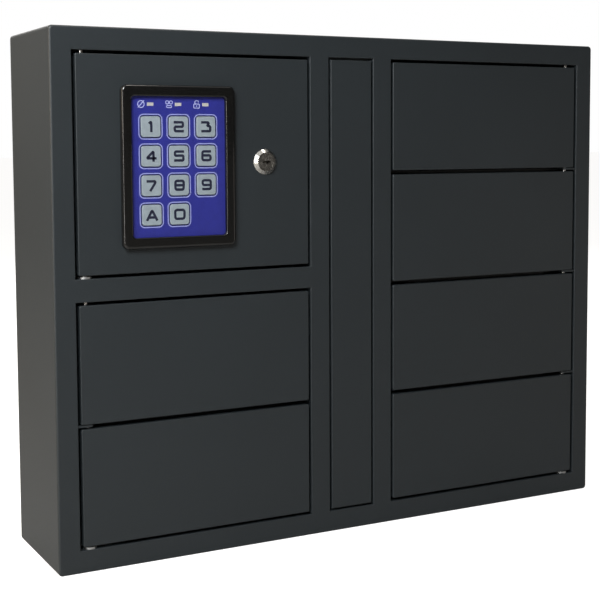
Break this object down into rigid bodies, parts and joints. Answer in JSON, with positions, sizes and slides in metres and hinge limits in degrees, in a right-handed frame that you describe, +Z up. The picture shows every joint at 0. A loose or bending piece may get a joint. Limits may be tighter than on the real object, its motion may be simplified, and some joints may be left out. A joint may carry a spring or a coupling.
{
  "type": "phone charging kiosk",
  "caption": "Steel charging locker for phones: flush folded doors on pin hinges, a control door with a keypad and cam lock, and an electric bolt lock for each compartment.",
  "frame": {"origin": "centre of the base's underside, midway between the painted front face and the back face", "axes": "+X to the right as seen from the doors, +Y from the doors to the back, +Z up"},
  "size_m": [0.494, 0.107, 0.4],
  "materials": {
    "painted_steel": "fine dark grey powder coat, satin",
    "galvanised_steel": "zinc coated, dull",
    "pin_steel": "ground steel, bright",
    "lock_chrome": "nickel plated",
    "bezel_black": "glossy black",
    "panel_blue": "printed film, semi-gloss",
    "key_silver": "silver printed, satin",
    "lamp_white": "translucent white",
    "circuit_board": "green solder mask",
    "supply_case": "bare, satin",
    "lock_housing": "black moulded",
    "bolt_steel": "turned steel",
    "grommet_rubber": "black"
  },
  "bodies": {
    "cabinet": {"cabinet_shell": "painted_steel", "back_panel": "painted_steel", "back_panel_screws": "galvanised_steel", "lock_channel": "painted_steel", "left_shelf_1": "painted_steel", "left_shelf_2": "painted_steel", "right_shelf_1": "painted_steel", "right_shelf_2": "painted_steel", "right_shelf_3": "painted_steel", "centre_cover": "painted_steel", "hinge_pins": "pin_steel", "hinge_washers": "galvanised_steel", "hinge_brackets": "painted_steel", "cable_grommets": "grommet_rubber", "controller_board": "circuit_board", "power_supply": "supply_case", "lock_body_1": "lock_housing", "lock_body_2": "lock_housing", "lock_body_3": "lock_housing", "lock_body_4": "lock_housing", "lock_body_5": "lock_housing", "lock_body_6": "lock_housing"},
    "control_door": {"control_door": "painted_steel", "keypad_bezel": "bezel_black", "keypad_panel": "panel_blue", "keypad_lamps": "lamp_white", "keypad_board": "circuit_board", "cam_lock_body": "lock_chrome", "cam_lock_nut": "galvanised_steel"},
    "lock_plug": {"lock_plug": "lock_chrome", "lock_cam": "galvanised_steel"},
    "key_1": {"key_1": "key_silver"},
    "key_2": {"key_2": "key_silver"},
    "key_3": {"key_3": "key_silver"},
    "key_4": {"key_4": "key_silver"},
    "key_5": {"key_5": "key_silver"},
    "key_6": {"key_6": "key_silver"},
    "key_7": {"key_7": "key_silver"},
    "key_8": {"key_8": "key_silver"},
    "key_9": {"key_9": "key_silver"},
    "key_a": {"key_a": "key_silver"},
    "key_0": {"key_0": "key_silver"},
    "compartment_door_1": {"compartment_door_1": "painted_steel"},
    "compartment_door_2": {"compartment_door_2": "painted_steel"},
    "compartment_door_3": {"compartment_door_3": "painted_steel"},
    "compartment_door_4": {"compartment_door_4": "painted_steel"},
    "compartment_door_5": {"compartment_door_5": "painted_steel"},
    "compartment_door_6": {"compartment_door_6": "painted_steel"},
    "lock_bolt_1": {"lock_bolt_1": "bolt_steel"},
    "lock_bolt_2": {"lock_bolt_2": "bolt_steel"},
    "lock_bolt_3": {"lock_bolt_3": "bolt_steel"},
    "lock_bolt_4": {"lock_bolt_4": "bolt_steel"},
    "lock_bolt_5": {"lock_bolt_5": "bolt_steel"},
    "lock_bolt_6": {"lock_bolt_6": "bolt_steel"},
    "door_ejector_1": {"door_ejector_1": "bolt_steel"},
    "door_ejector_2": {"door_ejector_2": "bolt_steel"},
    "door_ejector_3": {"door_ejector_3": "bolt_steel"},
    "door_ejector_4": {"door_ejector_4": "bolt_steel"},
    "door_ejector_5": {"door_ejector_5": "bolt_steel"},
    "door_ejector_6": {"door_ejector_6": "bolt_steel"}
  },
  "joints": [
    {"name": "control_door_hinge", "type": "hinge", "parent": "cabinet", "child": "control_door", "pos_m": [-0.2218, -0.0455, 0.30035], "axis": [0, 0, -1], "range_deg": [0, 105]},
    {"name": "lock_turn", "type": "hinge", "parent": "control_door", "child": "lock_plug", "pos_m": [-0.07754, -0.051, 0.30125], "axis": [0, -1, 0], "range_deg": [0, 90]},
    {"name": "key_1_press", "type": "slide", "parent": "control_door", "child": "key_1", "axis": [0, 1, 0], "range_m": [0, 0.0006], "stiffness_N_per_m": 600},
    {"name": "key_2_press", "type": "slide", "parent": "control_door", "child": "key_2", "axis": [0, 1, 0], "range_m": [0, 0.0006], "stiffness_N_per_m": 600},
    {"name": "key_3_press", "type": "slide", "parent": "control_door", "child": "key_3", "axis": [0, 1, 0], "range_m": [0, 0.0006], "stiffness_N_per_m": 600},
    {"name": "key_4_press", "type": "slide", "parent": "control_door", "child": "key_4", "axis": [0, 1, 0], "range_m": [0, 0.0006], "stiffness_N_per_m": 600},
    {"name": "key_5_press", "type": "slide", "parent": "control_door", "child": "key_5", "axis": [0, 1, 0], "range_m": [0, 0.0006], "stiffness_N_per_m": 600},
    {"name": "key_6_press", "type": "slide", "parent": "control_door", "child": "key_6", "axis": [0, 1, 0], "range_m": [0, 0.0006], "stiffness_N_per_m": 600},
    {"name": "key_7_press", "type": "slide", "parent": "control_door", "child": "key_7", "axis": [0, 1, 0], "range_m": [0, 0.0006], "stiffness_N_per_m": 600},
    {"name": "key_8_press", "type": "slide", "parent": "control_door", "child": "key_8", "axis": [0, 1, 0], "range_m": [0, 0.0006], "stiffness_N_per_m": 600},
    {"name": "key_9_press", "type": "slide", "parent": "control_door", "child": "key_9", "axis": [0, 1, 0], "range_m": [0, 0.0006], "stiffness_N_per_m": 600},
    {"name": "key_a_press", "type": "slide", "parent": "control_door", "child": "key_a", "axis": [0, 1, 0], "range_m": [0, 0.0006], "stiffness_N_per_m": 600},
    {"name": "key_0_press", "type": "slide", "parent": "control_door", "child": "key_0", "axis": [0, 1, 0], "range_m": [0, 0.0006], "stiffness_N_per_m": 600},
    {"name": "door_1_hinge", "type": "hinge", "parent": "cabinet", "child": "compartment_door_1", "pos_m": [-0.2218, -0.0455, 0.15443], "axis": [0, 0, -1], "range_deg": [0, 105]},
    {"name": "door_2_hinge", "type": "hinge", "parent": "cabinet", "child": "compartment_door_2", "pos_m": [-0.2218, -0.0455, 0.06327], "axis": [0, 0, -1], "range_deg": [0, 105]},
    {"name": "door_3_hinge", "type": "hinge", "parent": "cabinet", "child": "compartment_door_3", "pos_m": [0.2218, -0.0455, 0.33672], "axis": [0, 0, 1], "range_deg": [0, 105]},
    {"name": "door_4_hinge", "type": "hinge", "parent": "cabinet", "child": "compartment_door_4", "pos_m": [0.2218, -0.0455, 0.24557], "axis": [0, 0, 1], "range_deg": [0, 105]},
    {"name": "door_5_hinge", "type": "hinge", "parent": "cabinet", "child": "compartment_door_5", "pos_m": [0.2218, -0.0455, 0.15443], "axis": [0, 0, 1], "range_deg": [0, 105]},
    {"name": "door_6_hinge", "type": "hinge", "parent": "cabinet", "child": "compartment_door_6", "pos_m": [0.2218, -0.0455, 0.06327], "axis": [0, 0, 1], "range_deg": [0, 105]},
    {"name": "bolt_1_slide", "type": "slide", "parent": "cabinet", "child": "lock_bolt_1", "axis": [-1, 0, 0], "range_m": [0, 0.006]},
    {"name": "bolt_2_slide", "type": "slide", "parent": "cabinet", "child": "lock_bolt_2", "axis": [-1, 0, 0], "range_m": [0, 0.006]},
    {"name": "bolt_3_slide", "type": "slide", "parent": "cabinet", "child": "lock_bolt_3", "axis": [1, 0, 0], "range_m": [0, 0.006]},
    {"name": "bolt_4_slide", "type": "slide", "parent": "cabinet", "child": "lock_bolt_4", "axis": [1, 0, 0], "range_m": [0, 0.006]},
    {"name": "bolt_5_slide", "type": "slide", "parent": "cabinet", "child": "lock_bolt_5", "axis": [1, 0, 0], "range_m": [0, 0.006]},
    {"name": "bolt_6_slide", "type": "slide", "parent": "cabinet", "child": "lock_bolt_6", "axis": [1, 0, 0], "range_m": [0, 0.006]},
    {"name": "ejector_1_slide", "type": "slide", "parent": "cabinet", "child": "door_ejector_1", "axis": [0, -1, 0], "range_m": [0, 0.008]},
    {"name": "ejector_2_slide", "type": "slide", "parent": "cabinet", "child": "door_ejector_2", "axis": [0, -1, 0], "range_m": [0, 0.008]},
    {"name": "ejector_3_slide", "type": "slide", "parent": "cabinet", "child": "door_ejector_3", "axis": [0, -1, 0], "range_m": [0, 0.008]},
    {"name": "ejector_4_slide", "type": "slide", "parent": "cabinet", "child": "door_ejector_4", "axis": [0, -1, 0], "range_m": [0, 0.008]},
    {"name": "ejector_5_slide", "type": "slide", "parent": "cabinet", "child": "door_ejector_5", "axis": [0, -1, 0], "range_m": [0, 0.008]},
    {"name": "ejector_6_slide", "type": "slide", "parent": "cabinet", "child": "door_ejector_6", "axis": [0, -1, 0], "range_m": [0, 0.008]}
  ],
  "couplings": [
    {"joint": "ejector_1_slide", "follows": "door_1_hinge", "m_per_rad": 0.0043},
    {"joint": "ejector_2_slide", "follows": "door_2_hinge", "m_per_rad": 0.0043},
    {"joint": "ejector_3_slide", "follows": "door_3_hinge", "m_per_rad": 0.0043},
    {"joint": "ejector_4_slide", "follows": "door_4_hinge", "m_per_rad": 0.0043},
    {"joint": "ejector_5_slide", "follows": "door_5_hinge", "m_per_rad": 0.0043},
    {"joint": "ejector_6_slide", "follows": "door_6_hinge", "m_per_rad": 0.0043}
  ]
}
